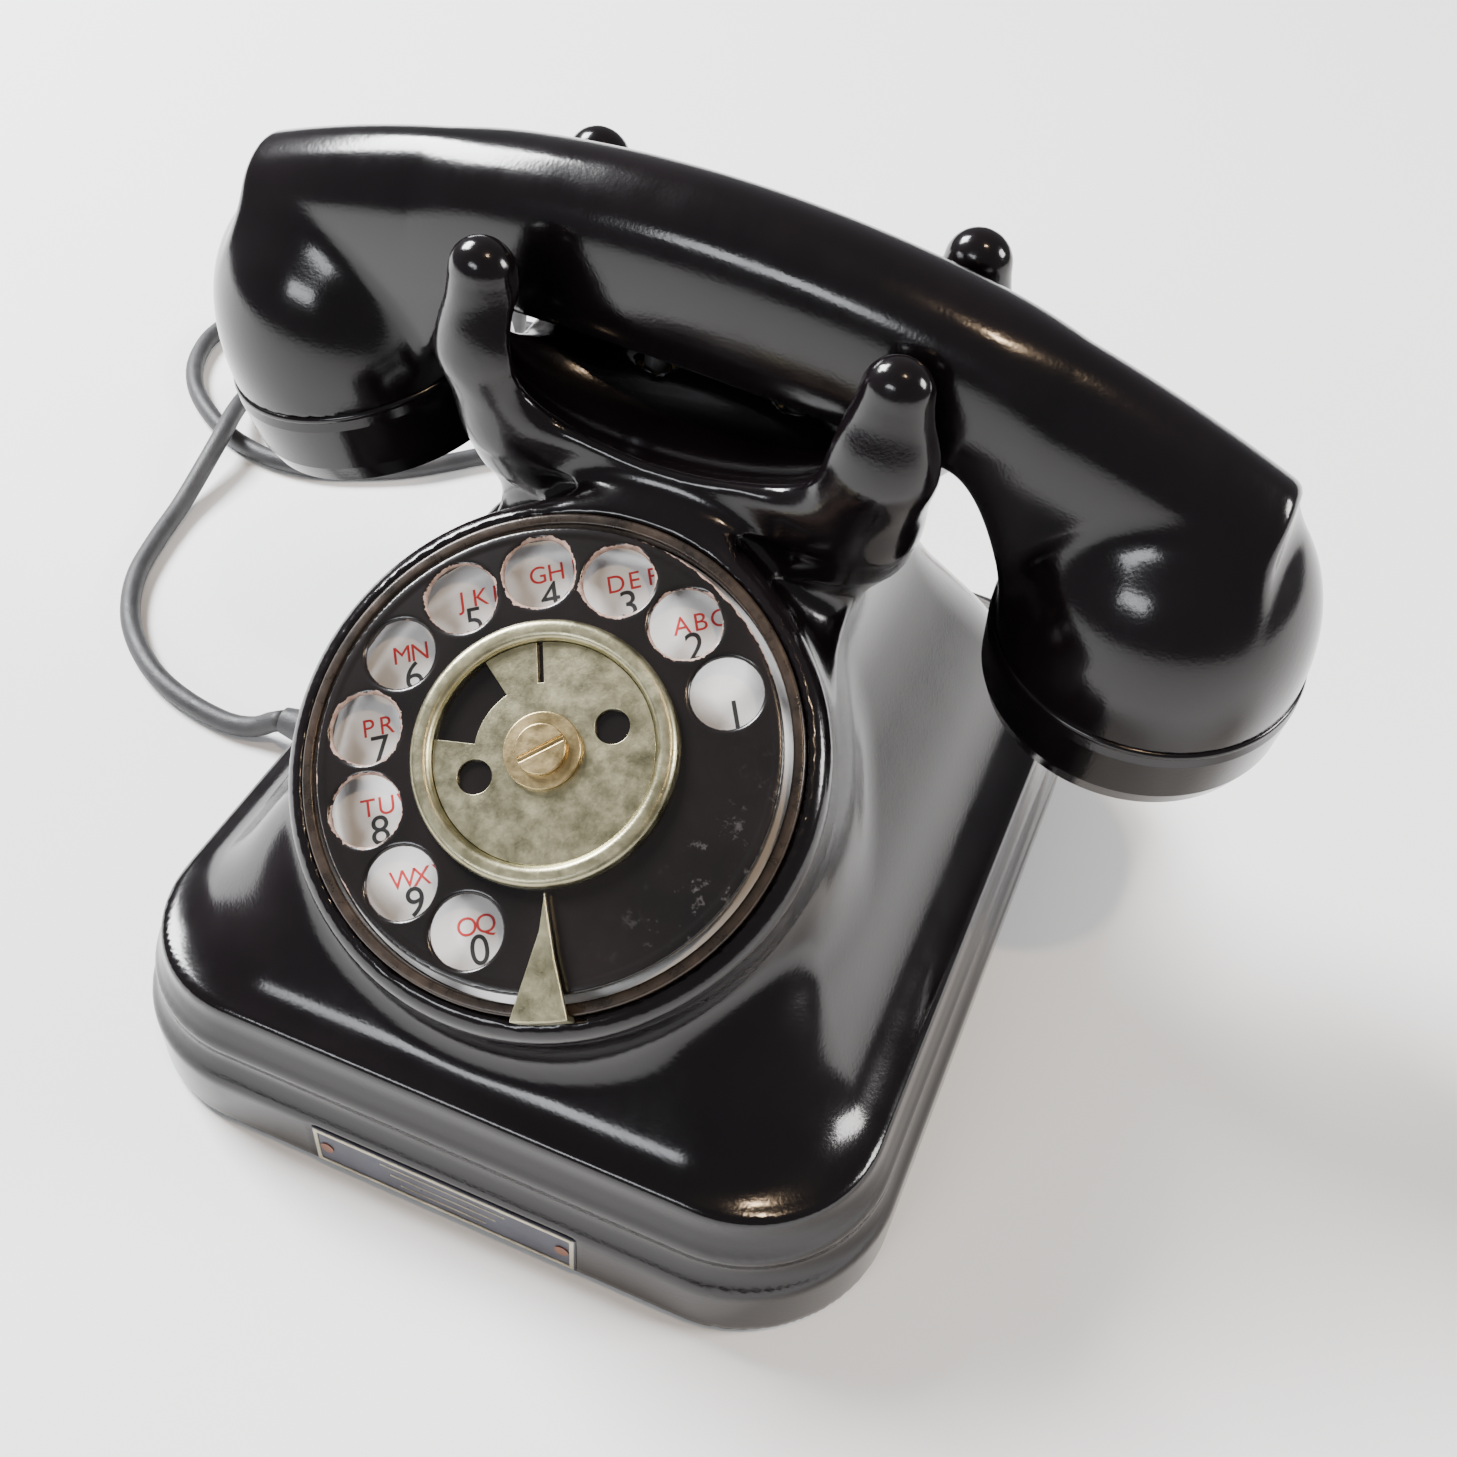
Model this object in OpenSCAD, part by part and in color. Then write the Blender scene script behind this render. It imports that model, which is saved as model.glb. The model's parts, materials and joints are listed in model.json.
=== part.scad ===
// Desk telephone with a rotary dial, standing on its feet.
// X to the right, Y to the back, Z up, origin at the middle of the footprint on the table.

/* [Base] */
// Half of the width of the skirt at the table
base_half_w = 77.2; // [75:0.1:79]
// Half of the depth of the skirt at the table
base_half_d = 91.7; // [90:0.1:93]
// Corner radius of the skirt at the table
base_corner = 30; // [28:0.5:31]
// Height of the skirt's crisp top edge
skirt_top = 33; // [32.5:0.1:34]
// Wall thickness of the moulding
wall = 3; // [2.5:0.1:3.2]
// Gap between the skirt and the table
skirt_gap = 1.5; // [1:0.1:2]

/* [Dial] */
// Distance of the dial centre in front of the middle
dial_forward = 48; // [47.5:0.1:48.5]
// Height of the dial centre
dial_height = 86.9; // [86.5:0.1:87.5]
// Lean of the dial from the horizontal, in degrees
dial_lean = 31.68; // [31:0.01:32.5]
// Radius of the finger wheel
wheel_r = 40; // [39.5:0.1:40.4]
// Radius of the circle of finger holes
hole_circle_r = 32; // [31.7:0.1:32.2]
// Diameter of one finger hole
finger_hole_d = 12.3; // [12:0.1:12.6]
// Angle of the first finger hole
first_hole_angle = 38.2; // [37:0.1:39]
// Angle from one finger hole to the next
hole_step = 25.62; // [25.5:0.01:25.7]

/* [Cradle] */
// Height of the prong tips
prong_top = 145.3; // [144:0.1:146]
// Middle of the neck and the handset, behind the middle
neck_y = 26; // [25.5:0.1:26.5]

/* [Handset] */
// Height of the handle's crest at its middle
crest_z = 152.5; // [152:0.1:153]
// Distance of each cup from the middle
cup_x = 86.5; // [86:0.1:87]
// Radius of a cup at its seam
cup_r = 29; // [28.5:0.1:29.5]
// Height of the seam between a dome and its screw cap
seam_z = 89; // [88.5:0.1:89.5]
// Inward lean of the left cup
left_cup_lean = 15; // [14:0.1:16]

/* [Cords] */
// Diameter of both cords
cord_d = 5; // [4.8:0.1:5.2]

/* [Hidden] */
$fn = 64;
shaft_r = 3;
run_gap = 0.05;
case_r = 43.5;
boss_r = 47.6;
plate_top = 4.5;
idler_angle = 150;
idler_dist = 24.15;
governor_angle = 210;
governor_dist = 15.15;
idler_xy = idler_dist * [cos(idler_angle), sin(idler_angle)];
governor_xy = idler_xy + governor_dist * [cos(governor_angle), sin(governor_angle)];
pillar_angles = [20, 100, 265, 325];
post_xy = [58, 72];
gong_x = 28.5;
gong_y = 54;
gong_r = 24;
plunger_x = 14;
hook_y = 40;
hook_z = 88;
coil_centre = [-28, 150];
plug_start = [4, 185.5, 10];
coil_in_r = 12.5;
coil_out_r = 38;
coil_h = 10;
line_gland_x = -62;
handset_rest = [1.5, 24.5, 153.5];
handset_turn = [6.5, 2, -2.5];
cup_lean_z = 100;

// Hill sections: height, half width, front y, back y, corner radius
HILL = [
    [30, 70, -85, 85, 25],
    [34, 67, -82, 82, 24],
    [42, 61, -77, 76, 22],
    [50, 56, -72, 71, 21],
    [58, 50, -65, 66, 20],
    [66, 43.5, -54, 61, 19],
    [74, 38.5, -40, 57, 17],
    [82, 36, -27, 54, 15],
    [94, 35, -7, 52, 13],
    [100, 35, 0, 51, 12],
    [107, 35, 1, 51, 12],
    [113, 34, 2, 50, 12]
];
// Skirt steps: bottom height, top height, inset from the widest band
SKIRT = [[skirt_gap, 15.5, 0], [15, 20.5, 1.9], [20, 26.5, 3.7], [26, skirt_top, 5.4]];

// Handset cord: from the gland on the left side round to the left cup's back
HANDSET_ROUTE = [
    [-93.2, -2, 8], [-97, -2.5, 6], [-101, -3.5, 3.6], [-108, -4.5, 2.6], [-120, -3, 2.6], [-132, 1, 2.6],
    [-143, 8, 2.6], [-152, 17, 2.6], [-159, 29, 2.6], [-163, 43, 2.6], [-165.5, 57, 3.2], [-167.5, 71, 6],
    [-169.5, 83, 8.3], [-172.5, 93, 8.3], [-176.5, 105, 5.4], [-178, 118, 2.8], [-175, 132, 2.6],
    [-166, 143, 2.6], [-155, 148.5, 2.6], [-143, 149, 2.6], [-130, 145, 2.6], [-117, 137, 6],
    [-107, 129, 15], [-99, 121, 30], [-93, 114, 46], [-88, 107, 62], [-84, 100, 76],
    [-81.3, 92, 87.5], [-80.7, 83.5, 94.2], [-82, 75, 97.8]
];
// Short tail of the line cord, from the coil's top layer to the plug
TAIL_ROUTE = [[-15, 185.5, 7.6], [-9, 185.5, 8.4], [-2, 185.5, 9.6], [4, 185.5, 10]];
// Line cord: from the rear gland round a loop on the table to the coil behind the telephone
LINE_ROUTE = [
    [-62, 114.2, 10], [-63, 119, 8], [-65, 124, 4.4], [-69, 128.5, 2.6], [-76, 131, 2.6], [-84, 130, 2.6],
    [-94, 124.5, 2.6], [-105, 114, 2.6], [-118, 101, 2.6],
    [-130, 93, 2.6], [-142, 87.5, 2.6], [-154, 85.7, 2.6], [-165, 87, 2.6], [-176, 91, 2.6],
    [-188, 98.5, 2.6], [-197, 107, 2.6], [-203, 117, 2.6], [-206, 129, 2.6], [-204, 142, 2.6],
    [-198, 154, 2.6], [-188, 163, 2.6], [-175, 168, 2.6], [-160, 171, 2.6], [-143, 174, 2.6],
    [-125, 177, 2.6], [-107, 180, 2.6], [-88, 182.5, 2.6], [-68, 184.5, 2.6], [-48, 185.4, 2.6],
    [-41, 185.5, 2.6]
];

// ---- helpers ----

// One closed ring of a rounded rectangle at height z, eight points to a corner
function rounded_ring(z, half_w, front, back, r) = [
    for (c = [0:3], i = [0:7])
        let (a = c * 90 + i * 90 / 7, sx = (c == 0 || c == 3) ? 1 : -1, sy = c < 2 ? 1 : -1)
        [sx * (half_w - r) + r * cos(a), (sy > 0 ? back - r : front + r) + r * sin(a), z]
];

// Closed solid through rings of equal point count, each turning anticlockwise about the way they advance
module loft(rings) {
    n = len(rings[0]);
    m = len(rings);
    polyhedron(
        points = [for (ring = rings) each ring],
        faces = concat(
            [[for (i = [0:n - 1]) i]],
            [for (j = [0:m - 2], i = [0:n - 1]) let (k = (i + 1) % n) [j * n + k, j * n + i, (j + 1) * n + k]],
            [for (j = [0:m - 2], i = [0:n - 1]) let (k = (i + 1) % n) [(j + 1) * n + k, j * n + i, (j + 1) * n + i]],
            [[for (i = [0:n - 1]) m * n - 1 - i]]
        )
    );
}

// Flat slab with round corners, standing on z = 0
module slab(half_w, half_d, r, h) {
    linear_extrude(h) union() {
        square([2 * (half_w - r), 2 * half_d], center = true);
        square([2 * half_w, 2 * (half_d - r)], center = true);
        for (sx = [-1, 1], sy = [-1, 1]) translate([sx * (half_w - r), sy * (half_d - r)]) circle(r);
    }
}

// Carries its children from the dial's own frame to the telephone's frame
module at_dial() {
    translate([0, -dial_forward, dial_height]) rotate([dial_lean, 0, 0]) children();
}

// Cylinder between two heights
module rod(r, z0, z1) {
    translate([0, 0, z0]) cylinder(r = r, h = z1 - z0);
}

// Ring between two radii and two heights
module tube(r_out, r_in, z0, z1) {
    difference() {
        rod(r_out, z0, z1);
        rod(r_in, z0 - 1, z1 + 1);
    }
}

// Flat gear outline with roomy, straight-sided teeth; one tooth points at the given angle
module gear_outline(teeth, module_size, tooth_angle) {
    tip = module_size * (teeth / 2 + 0.75);
    root = module_size * (teeth / 2 - 1.2);
    pitch = 360 / teeth;
    polygon([
        for (k = [0:teeth - 1], c = [[root, -0.26], [tip, -0.11], [tip, 0.11], [root, 0.26]])
            let (a = tooth_angle + (k + c[1]) * pitch)
            c[0] * [cos(a), sin(a)]
    ]);
}

function unit(v) = v / norm(v);
function route_direction(p, i) = unit(p[min(i + 1, len(p) - 1)] - p[max(i - 1, 0)]);

// Eight-sided cord swept along a route, with level cross axes
module cord(route, d) {
    loft([
        for (i = [0:len(route) - 1])
            let (t = route_direction(route, i), side = unit(cross(t, [0, 0, 1])), up = cross(side, t))
            [for (k = [0:7]) route[i] + d / 2 * (cos(k * 45) * side - sin(k * 45) * up)]
    ]);
}

// ---- body ----

module cradle_wings() {
    for (side = [-1, 1]) hull() {
        for (y = [7, 45]) translate([side * 34, y, 111]) sphere(r = 6.5, $fn = 20);
        translate([side * 30, neck_y, 104]) cube([8, 40, 12], center = true);
    }
}

module prongs() {
    for (side = [-1, 1], end = [-1, 1]) hull() {
        translate([side * 37.2, neck_y + end * 22.3, prong_top - 5]) sphere(r = 5, $fn = 20);
        translate([side * 37, neck_y + end * 23.5, 127]) sphere(r = 7.5, $fn = 20);
        translate([side * 34.5, neck_y + end * 19, 113]) sphere(r = 7, $fn = 20);
    }
}

module shell_outside() {
    for (s = SKIRT) translate([0, 0, s[0]])
        slab(base_half_w - s[2], base_half_d - s[2], base_corner - s[2] * 0.8, s[1] - s[0]);
    loft([for (s = HILL) rounded_ring(s[0], s[1], s[2], s[3], s[4])]);
    at_dial() rod(boss_r, -34, -3.2);
    cradle_wings();
    prongs();
}

module shell_inside() {
    top = len(HILL) - 2;
    translate([0, 0, -1]) slab(base_half_w - 5.4 - wall, base_half_d - 5.4 - wall, 22, 32);
    loft([for (i = [0:top])
        let (s = HILL[i]) rounded_ring(s[0] + (i == 0 ? 0 : i == top ? 1 : -2),
            s[1] - wall, s[2] + wall, s[3] - wall, s[4] - 2)]);
    at_dial() rod(case_r + 0.1, -50, -16);
}

module body_shell() {
    color([0.05, 0.04, 0.05]) {
        difference() {
            shell_outside();
            shell_inside();
            at_dial() rod(case_r, -20, 5);
            translate([-2, -7, 139]) sphere(r = 31);
            for (side = [-1, 1]) translate([side * plunger_x, neck_y, 0]) rod(4.2, 100, 130);
            translate([0, -2, 8]) rotate([0, -90, 0]) rod(4.5, 60, 90);
            translate([line_gland_x, 0, 10]) rotate([-90, 0, 0]) rod(4.5, 70, 100);
            translate([-27.4, -base_half_d - 1, 2.5]) cube([54.8, 1.5, 11.6]);
        }
        for (sx = [-1, 1], sy = [-1, 1]) translate([sx * post_xy[0], sy * post_xy[1], 0]) tube(4, 1.6, plate_top, 31);
    }
}

module base_plate() {
    color([0.35, 0.35, 0.36]) difference() {
        translate([0, 0, 3]) slab(68.2, 82.7, 21.5, 1.5);
        for (sx = [-1, 1], sy = [-1, 1]) translate([sx * post_xy[0], sy * post_xy[1], 0]) rod(1.6, 0, 10);
    }
}

module rubber_feet() {
    color([0.1, 0.1, 0.1]) for (sx = [-1, 1], sy = [-1, 1])
        translate([sx * 48, sy * 62, 0]) rotate_extrude() polygon([[0, 0], [7, 0], [8, 1], [8, 3], [0, 3]]);
}

module base_screws() {
    color([0.7, 0.7, 0.7]) for (sx = [-1, 1], sy = [-1, 1])
        translate([sx * post_xy[0], sy * post_xy[1], 0]) difference() {
            union() {
                rod(3.4, 1.2, 3);
                rod(1.5, 2, 14);
            }
            translate([-4, -0.4, 0]) cube([8, 0.8, 2]);
        }
}

module nameplate() {
    color([0.08, 0.09, 0.14]) difference() {
        translate([-27.3, -base_half_d - 0.1, 2.6]) cube([54.6, 0.6, 11.4]);
        for (side = [-1, 1]) translate([side * 24.5, -base_half_d, 8.3]) rotate([90, 0, 0]) rod(0.9, -2, 2);
    }
}

module nameplate_pins() {
    color([0.45, 0.25, 0.18]) for (side = [-1, 1])
        translate([side * 24.5, -base_half_d, 8.3]) rotate([90, 0, 0]) {
            rod(0.9, -0.5, 0.1);
            rod(1.4, 0.1, 0.3);
        }
}

// ---- dial: fixed pieces ----

module dial_case() {
    color([0.3, 0.22, 0.14]) at_dial() difference() {
        rod(case_r, -14, -2.2);
        rod(case_r - 1.8, -12.4, 0);
        rod(shaft_r + run_gap, -15, -10);
        translate(idler_xy) rod(1.5 + run_gap, -15, -10);
        translate(governor_xy) rod(1.2 + run_gap, -15, -10);
    }
}

module number_plate() {
    color([0.95, 0.94, 0.92]) at_dial() {
        tube(41.4, 12, -6.6, -5.8);
        for (a = pillar_angles) rotate(a) translate([20, 0, 0]) rod(2, -12.4, -6.6);
    }
}

// Blade over the wheel, bent down over its rim to the case edge
module finger_stop() {
    color([0.62, 0.6, 0.52]) at_dial() intersection() {
        union() {
            rod(44, 1, 2.4);
            tube(44.6, 43.6, -3.1, 2.4);
        }
        linear_extrude(20, center = true)
            polygon([for (c = [[23.5, 294.6], [30, 292.5], [46, 286], [47, 292.5], [46, 299], [34, 296.8]])
                c[0] * [cos(c[1]), sin(c[1])]]);
    }
}

module dial_pillars() {
    color([0.7, 0.6, 0.35]) at_dial() for (a = pillar_angles) rotate(a) translate([36, 0, 0]) tube(2.6, 1, -26, -14);
}

module dial_frame() {
    color([0.7, 0.6, 0.35]) at_dial() difference() {
        rod(40.5, -27.5, -26);
        rod(shaft_r + run_gap, -30, -20);
        translate(idler_xy) rod(1.5 + run_gap, -30, -20);
        translate(governor_xy) rod(1.2 + run_gap, -30, -20);
        for (a = pillar_angles) rotate(a) translate([36, 0, 0]) rod(1, -30, -20);
    }
}

module dial_screws() {
    color([0.75, 0.72, 0.65]) at_dial() for (a = pillar_angles) rotate(a) translate([36, 0, 0]) difference() {
        union() {
            rod(2, -29, -27.5);
            rod(1, -28, -18);
        }
        translate([-3, -0.3, -29.5]) cube([6, 0.6, 1.1]);
    }
}

// Flat spiral that turns the dial back
module main_spring() {
    turns = 4;
    step = 1.6;
    function spiral(r0) = [for (a = [0:15:turns * 360]) (r0 + step * a / 360) * [cos(a), sin(a)]];
    outer = spiral(4.2);
    inner = spiral(3.6);
    last = len(inner) - 1;
    color([0.3, 0.35, 0.45]) at_dial() translate([0, 0, -25]) linear_extrude(5)
        polygon(concat(outer, [for (i = [0:last]) inner[last - i]]));
}

module pulse_contacts() {
    color([0.45, 0.3, 0.15]) at_dial() translate([idler_xy[0] + 3, idler_xy[1] + 9.5, -26]) {
        translate([-5, 0, 0]) cube([10, 6, 0.9]);
        for (i = [0:1]) translate([-9, 1 + 2.6 * i, 0.9]) cube([14, 0.5, 1.8]);
    }
}

module governor_cup() {
    color([0.72, 0.6, 0.3]) at_dial() translate(governor_xy) difference() {
        rod(7.4, -20.3, -14);
        rod(6.7, -21, -14.7);
        rod(1.2 + run_gap, -21, -10);
    }
}

// ---- dial: turning pieces ----

module finger_wheel() {
    color([0.06, 0.05, 0.05]) at_dial() difference() {
        union() {
            rod(wheel_r, -1.4, 0);
            tube(wheel_r, wheel_r - 1.2, -3.2, -1);
        }
        rod(shaft_r, -2, 1);
        for (k = [0:9]) rotate(first_hole_angle + k * hole_step) translate([hole_circle_r, 0, 0])
            rod(finger_hole_d / 2, -5, 5);
    }
}

module card_ring() {
    color([0.68, 0.67, 0.6]) at_dial() rotate_extrude()
        polygon([[19.2, 0], [22.9, 0], [22.9, 1.2], [21.8, 2.3], [20.4, 2.5], [19.2, 1.6]]);
}

module card_plate() {
    color([0.72, 0.69, 0.58]) at_dial() difference() {
        rod(19.1, 0, 0.8);
        rod(1.5, -1, 2);
        for (a = [40, 220]) rotate(a) translate([12.3, 0, 0]) rod(3, -1, 2);
        translate([0, 0, -1]) linear_extrude(3) difference() {
            polygon([[0, 0], for (a = [145:12:193]) 25 * [cos(a), sin(a)]]);
            circle(12);
        }
        rotate(115) translate([12, -0.5, -1]) cube([10, 1, 3]);
    }
}

module hub_washer() {
    color([0.75, 0.62, 0.35]) at_dial() tube(6.7, 1.5, 0.8, 1.9);
}

module centre_screw() {
    color([0.7, 0.6, 0.42]) at_dial() difference() {
        union() {
            rod(4.4, 1.9, 3.1);
            rod(1.5, -6, 2);
        }
        rotate(47) translate([-5, -0.45, 2.4]) cube([10, 0.9, 2]);
    }
}

module main_shaft() {
    color([0.75, 0.75, 0.75]) at_dial() difference() {
        rod(shaft_r, -27.5, 0);
        rod(1.5, -6, 1);
    }
}

module main_gear() {
    color([0.75, 0.6, 0.3]) at_dial() difference() {
        translate([0, 0, -18]) linear_extrude(2) gear_outline(48, 0.8, idler_angle);
        rod(shaft_r, -20, -10);
    }
}

module idler_arbor() {
    color([0.75, 0.65, 0.4]) at_dial() translate(idler_xy) {
        rod(1.5, -27.5, -12.4);
        translate([0, 0, -18.2]) linear_extrude(2.4) gear_outline(12, 0.8, idler_angle + 180 + 15);
    }
}

module idler_gear() {
    color([0.75, 0.6, 0.3]) at_dial() translate(idler_xy) difference() {
        translate([0, 0, -22.5]) linear_extrude(1.5) gear_outline(40, 0.6, governor_angle);
        rod(1.5, -30, -10);
    }
}

module pulse_cam() {
    color([0.35, 0.2, 0.1]) at_dial() translate(idler_xy) difference() {
        translate([0, 0, -25.4]) linear_extrude(1.4) union() {
            circle(3.4);
            for (side = [-1, 1]) translate([side * 3.2, 0]) circle(1.6);
        }
        rod(1.5, -30, -10);
    }
}

module governor_arbor() {
    color([0.75, 0.75, 0.75]) at_dial() translate(governor_xy) {
        rod(1.2, -27.5, -12.4);
        translate([0, 0, -22.7]) linear_extrude(1.9) gear_outline(10, 0.6, governor_angle + 180 + 18);
    }
}

module governor_weights() {
    color([0.72, 0.6, 0.3]) at_dial() translate(governor_xy) difference() {
        translate([0, 0, -19.6]) union() {
            translate([-5, -1.4, 0]) cube([10, 2.8, 1.5]);
            for (side = [-1, 1]) translate([side * 4.2, 0, 0]) cylinder(r = 2, h = 3);
        }
        rod(1.2, -30, -10);
    }
}

// ---- hook switch ----

module hook_plungers() {
    color([0.7, 0.7, 0.68]) {
        for (side = [-1, 1]) translate([side * plunger_x, neck_y, 0]) rod(2.5, 90, 120);
        translate([0, neck_y, 91.5]) cube([2 * plunger_x + 8, 6, 3], center = true);
    }
}

module plunger_guides() {
    color([0.72, 0.6, 0.35]) for (side = [-1, 1]) translate([side * plunger_x, neck_y, 0])
        tube(4.2, 2.5 + run_gap, 106, 114);
}

module hook_lever() {
    color([0.7, 0.7, 0.7]) difference() {
        union() {
            translate([-7, 22, 86.6]) cube([14, 22, 2.6]);
            translate([-7, hook_y, hook_z]) rotate([0, 90, 0]) cylinder(r = 2.8, h = 14);
        }
        translate([-20, hook_y, hook_z]) rotate([0, 90, 0]) cylinder(r = 1.5 + run_gap, h = 40);
    }
}

module hook_bracket() {
    color([0.5, 0.5, 0.52]) difference() {
        union() {
            translate([-11, 46.5, 74]) cube([22, 1.5, 22]);
            translate([-11, 30, 74]) cube([22, 18, 1.5]);
            for (side = [-1, 1]) translate([side * 10 - 0.75, 36, 74]) cube([1.5, 12, 18]);
        }
        translate([-20, hook_y, hook_z]) rotate([0, 90, 0]) cylinder(r = 1.5, h = 40);
    }
}

module hook_pin() {
    color([0.75, 0.75, 0.75]) translate([-12.5, hook_y, hook_z]) rotate([0, 90, 0]) cylinder(r = 1.5, h = 25);
}

module hook_contacts() {
    color([0.45, 0.3, 0.15]) translate([0, 0, 75.5]) {
        translate([-6, 31, 0]) cube([12, 5, 6.5]);
        for (i = [0:2]) translate([-4, 20, 1 + 2 * i]) cube([8, 12, 0.5]);
    }
}

// ---- bell and circuit ----

module ringer_frame() {
    color([0.5, 0.5, 0.52]) {
        difference() {
            translate([-34, 4, plate_top]) cube([68, 30, 1.5]);
            translate([0, 29, 0]) rod(1.5, 0, 8);
        }
        translate([-20, 4, plate_top]) cube([40, 1.5, 22]);
        translate([0, 29, 0]) rod(1.5, plate_top, 22);
    }
}

module ringer_coils() {
    color([0.5, 0.2, 0.12]) for (side = [-1, 1]) translate([side * 11, 5.5, 15]) rotate([-90, 0, 0]) {
        rod(8.5, 0, 1.2);
        rod(7.6, 1.2, 17);
        rod(8.5, 17, 18.2);
        rod(3, 18.2, 20);
    }
}

module gong(x) {
    color([0.7, 0.68, 0.62]) translate([x, gong_y, 13]) rotate_extrude() polygon([
        [2.2, 13], [2.2, 14.4], [14, 14.4], [20, 12.6], [23, 8.6], [gong_r, 3], [gong_r, 0], [gong_r - 1.5, 0],
        [gong_r - 1.5, 2.8], [21.6, 8], [19, 11.4], [13.6, 13]
    ]);
}

module gong_left() { gong(-gong_x); }

module gong_right() { gong(gong_x); }

module gong_posts() {
    color([0.5, 0.5, 0.5]) for (side = [-1, 1]) translate([side * gong_x, gong_y, 0]) tube(4, 2.2, plate_top, 26);
}

module gong_screws() {
    color([0.75, 0.72, 0.6]) for (side = [-1, 1]) translate([side * gong_x, gong_y, 0]) difference() {
        union() {
            rod(2.2, 16, 27.4);
            rod(4, 27.4, 29.4);
        }
        translate([-5, -0.5, 28.4]) cube([10, 1, 2]);
    }
}

module clapper_arm() {
    color([0.6, 0.6, 0.6]) difference() {
        union() {
            translate([-17, 27, 12]) cube([34, 3.6, 6]);
            translate([0, 29, 0]) rod(3, 10, 20);
            translate([-0.8, 29, 14.2]) cube([1.6, 21, 1.6]);
        }
        translate([0, 29, 0]) rod(1.5 + run_gap, 5, 25);
    }
}

module clapper_ball() {
    color([0.72, 0.6, 0.35]) translate([0, 52.9, 15]) sphere(r = 3);
}

module induction_coil() {
    color([0.35, 0.3, 0.2]) translate([-50, -30, plate_top + 11.5]) rotate([-90, 0, 0]) {
        rod(11.5, 0, 2);
        rod(9.5, 2, 43);
        rod(11.5, 43, 45);
    }
}

module capacitor() {
    color([0.6, 0.6, 0.55]) translate([34, -28, plate_top]) cube([26, 46, 20]);
}

module terminal_block() {
    color([0.12, 0.08, 0.06]) difference() {
        translate([-24, -44, plate_top]) cube([48, 18, 9]);
        for (i = [0:3]) translate([-18 + 12 * i, -35, 0]) rod(1.5, 8, 20);
    }
}

module terminal_screws() {
    color([0.75, 0.65, 0.4]) for (i = [0:3]) translate([-18 + 12 * i, -35, 0]) difference() {
        union() {
            rod(1.5, 8, 14);
            rod(3, 13.5, 15.5);
        }
        translate([-4, -0.4, 14.7]) cube([8, 0.8, 2]);
    }
}

// ---- cords ----

// Tapered sleeve, standing on z = 0
module gland(r0, r1, h) {
    rotate_extrude() polygon([[0, -4], [4.4, -4], [4.4, 0.2], [r0, 0.2], [r0, 2.4], [r1, h], [0, h]]);
}

module handset_gland() {
    color([0.06, 0.06, 0.06]) translate([-base_half_w, -2, 8]) rotate([0, -90, 0]) gland(5.6, 3.2, 16);
}

module line_gland() {
    color([0.06, 0.06, 0.06]) translate([line_gland_x, base_half_d, 10]) rotate([-90, 0, 0]) gland(5.8, 3.2, 22.5);
}

module handset_cord() {
    color([0.08, 0.08, 0.08]) cord(HANDSET_ROUTE, cord_d);
}

module line_cord() {
    color([0.08, 0.08, 0.08]) cord(LINE_ROUTE, cord_d);
}

module line_coil() {
    color([0.08, 0.08, 0.08]) translate([coil_centre[0], coil_centre[1], 0.1]) rotate_extrude()
        translate([coil_in_r, 0]) square([coil_out_r - coil_in_r, coil_h]);
}

module line_tail() {
    color([0.08, 0.08, 0.08]) cord(TAIL_ROUTE, cord_d);
}

module line_plug() {
    color([0.1, 0.07, 0.06]) translate(plug_start) rotate([0, 90, 0])
        rotate_extrude() polygon([[0, 0], [3.2, 0], [4.5, 12], [9.5, 16], [9.9, 28], [9, 34], [0, 34]]);
}

module plug_pins() {
    color([0.75, 0.7, 0.5]) for (a = [0, 120, 240])
        translate(plug_start + [34, 0, 0]) rotate([0, 90, 0]) rotate(a)
            translate([5.5, 0, 0]) rod(1.6, 0, 14);
}

// ---- handset ----

function handle_top(x) = crest_z - 0.0022 * x * x;
function handle_bottom(x) = abs(x) < 46 ? 120.2 - 0.0012 * x * x : 117.7 - 0.014 * pow(min(abs(x), 80) - 46, 2);

// Pear-shaped ring across the handle: broad below and narrow at the crest
function handle_ring(x) = [
    for (k = [0:23])
        let (a = k * 15, s = sin(a), zc = (handle_top(x) + handle_bottom(x)) / 2,
            h = (handle_top(x) - handle_bottom(x)) / 2, w = 13.5 * (1 - 0.28 * pow(max(0, s), 2)))
        [x, w * cos(a), zc + h * s]
];

// Sets the handset down on the cradle: turned about its crest as it lies there
module at_rest() {
    translate(handset_rest) rotate(handset_turn) translate([0, 0, -crest_z]) children();
}

// Stands a cup's pieces at one end of the handset; the left cup leans inward
module at_cup(side) {
    translate([side * cup_x, 0, cup_lean_z]) rotate([0, side < 0 ? -left_cup_lean : 0, 0])
        translate([0, 0, -cup_lean_z]) children();
}

module cup_dome() {
    rotate_extrude()
        polygon([[0, seam_z], [cup_r, seam_z], [cup_r - 0.3, seam_z + 5], [27, 100], [24.2, 107], [20, 114],
            [14, 120], [7, 123.5], [0, 124.5]]);
}

module handset_handle() {
    color([0.05, 0.04, 0.05]) at_rest() difference() {
        union() {
            loft([for (x = [-100:10:100]) handle_ring(x)]);
            for (side = [-1, 1]) at_cup(side) cup_dome();
        }
        for (side = [-1, 1]) at_cup(side) rod(24, 80, 97);
    }
}

module cap(side) {
    color([0.05, 0.04, 0.05]) at_rest() at_cup(side) difference() {
        rotate_extrude() polygon([[0, 73.5], [16, 71.5], [25, 71.5], [27.6, 73], [29, 77], [29.5, 86.5],
            [cup_r, seam_z], [0, seam_z]]);
        rod(25.6, 77, 95);
        for (a = [0:45:315]) rotate(a) translate([11, 0, 0]) rod(1.5, 60, 80);
        rod(1.5, 60, 80);
    }
}

module ear_cap() { cap(-1); }

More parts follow.
